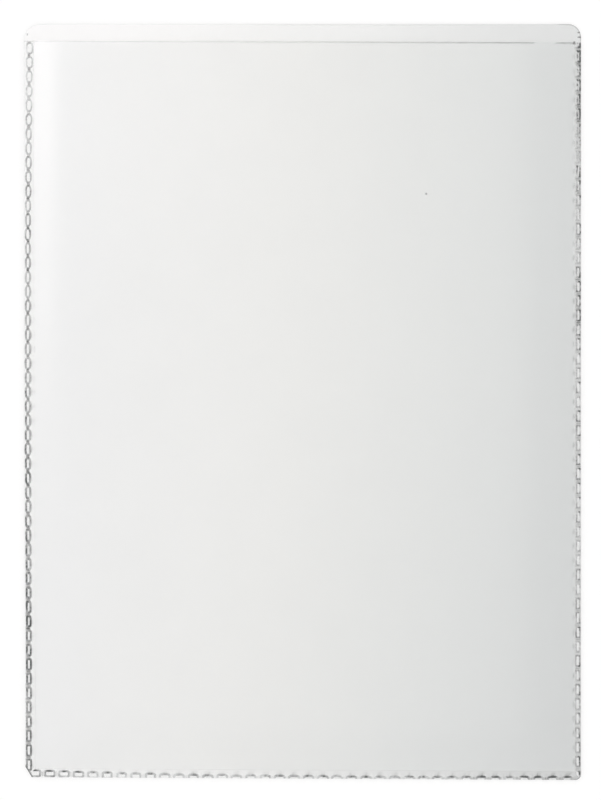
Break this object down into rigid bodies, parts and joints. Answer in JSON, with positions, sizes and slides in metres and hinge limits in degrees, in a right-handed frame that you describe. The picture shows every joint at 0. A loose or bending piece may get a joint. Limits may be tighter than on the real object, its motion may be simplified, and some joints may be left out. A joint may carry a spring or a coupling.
{
  "type": "card sleeve",
  "caption": "Clear soft-plastic sleeve for a card: a front film welded to a longer back film along the sides and bottom with a stitched seam, open at the lipped end.",
  "frame": {"origin": "middle of the sleeve's outline, on its flat back face", "axes": "+X across the sleeve, +Y along it towards the open end with the lip, +Z through the films towards the front"},
  "size_m": [0.0804, 0.109, 0.0008],
  "materials": {
    "clear_film": "clear calendered soft PVC film, glossy with a slight haze",
    "weld": "clear soft PVC fused by a high-frequency weld, with pressed stitches"
  },
  "bodies": {
    "root": {"back_film": "clear_film", "front_film": "clear_film", "left_weld": "weld", "right_weld": "weld", "bottom_weld": "weld"}
  },
  "joints": []
}
